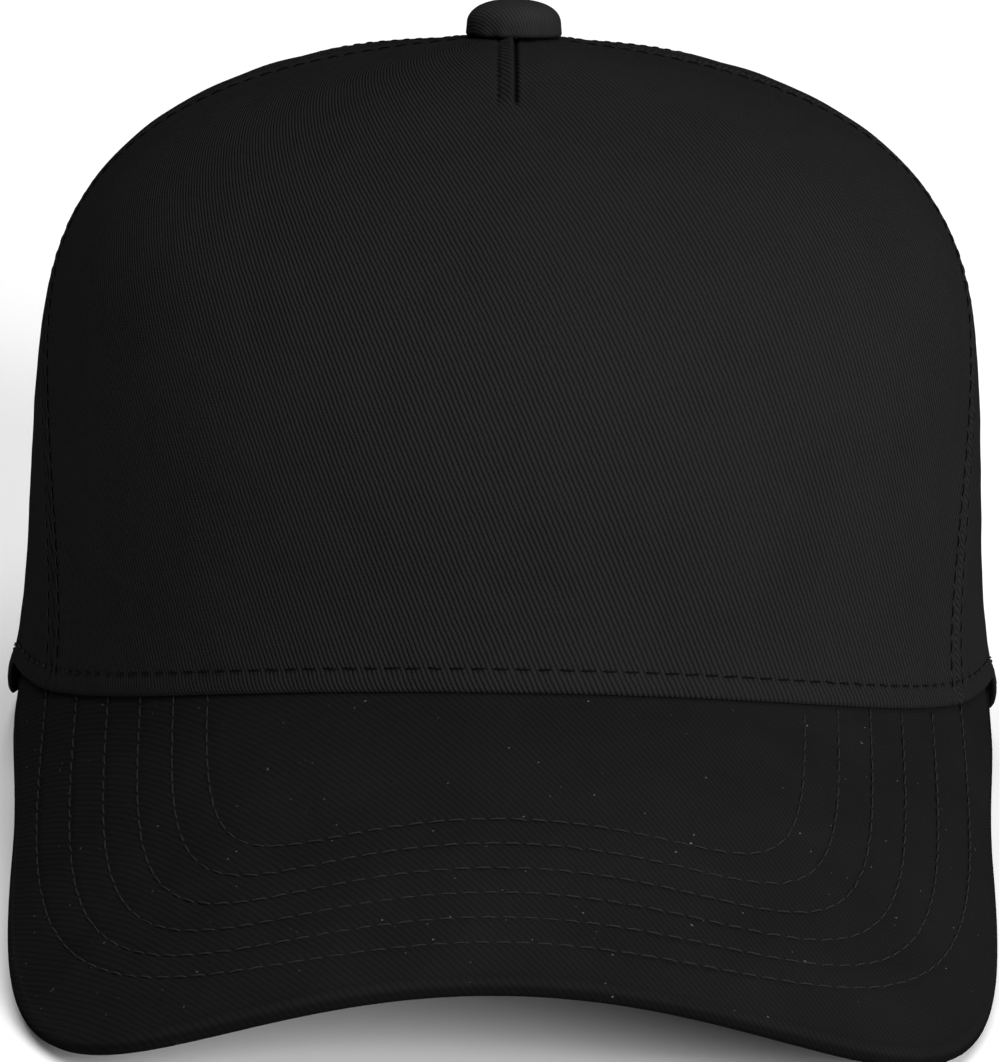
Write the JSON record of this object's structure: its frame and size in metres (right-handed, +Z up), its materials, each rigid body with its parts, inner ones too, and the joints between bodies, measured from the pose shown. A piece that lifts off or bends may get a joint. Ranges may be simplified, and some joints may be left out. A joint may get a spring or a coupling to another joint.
{
  "type": "baseball cap",
  "caption": "Structured twill cap with a tall front panel, curved visor with stitched rows, covered top button and a rear snap closure.",
  "frame": {"origin": "centre of the bounding box's bottom face, on the table the cap lies on", "axes": "+Z up, the visor points along -Y, the snap closure is at +Y, +X is to the right of someone looking at the front"},
  "size_m": [0.1752, 0.2434, 0.1334],
  "materials": {
    "panel_cloth": "matte cotton twill",
    "visor_cloth": "matte cotton twill",
    "button_cloth": "matte cotton twill",
    "binding_cloth": "matte plain weave",
    "seam_tape": "matte woven tape",
    "sweatband_cloth": "matte cotton",
    "buckram": "stiff open weave",
    "foam": "soft fleece padding",
    "eyelet_thread": "satin embroidery thread",
    "visor_board": "moulded board",
    "button_metal": "plain stamped metal",
    "strap_plastic": "satin moulded plastic"
  },
  "bodies": {
    "cap": {"front_panel": "panel_cloth", "front_buckram": "buckram", "side_panel_left": "panel_cloth", "side_panel_right": "panel_cloth", "back_panel_left": "panel_cloth", "back_panel_right": "panel_cloth", "seam_tape_front_left": "seam_tape", "seam_tape_front_right": "seam_tape", "seam_tape_back_left": "seam_tape", "seam_tape_back_right": "seam_tape", "seam_tape_center_back": "seam_tape", "arch_binding": "binding_cloth", "sweatband": "sweatband_cloth", "sweatband_foam": "foam", "visor_top_cover": "visor_cloth", "visor_board": "visor_board", "visor_bottom_cover": "visor_cloth", "button_cover": "button_cloth", "button_shell": "button_metal", "button_post": "button_metal", "button_back": "button_metal", "eyelet_side_left": "eyelet_thread", "eyelet_side_right": "eyelet_thread", "eyelet_back_left": "eyelet_thread", "eyelet_back_right": "eyelet_thread", "strap_tab_left": "strap_plastic", "strap_tab_right": "strap_plastic"},
    "socket_strap": {"snap_strap_socket": "strap_plastic"},
    "stud_strap": {"snap_strap_stud": "strap_plastic"}
  },
  "joints": [
    {"name": "socket_strap_hinge", "type": "hinge", "parent": "cap", "child": "socket_strap", "pos_m": [-0.04005, 0.11297, 0.0094], "axis": [0, 0, 1], "range_deg": [0, 35]},
    {"name": "stud_strap_hinge", "type": "hinge", "parent": "cap", "child": "stud_strap", "pos_m": [0.03951, 0.11146, 0.0094], "axis": [0, 0, 1], "range_deg": [0, 35]}
  ]
}
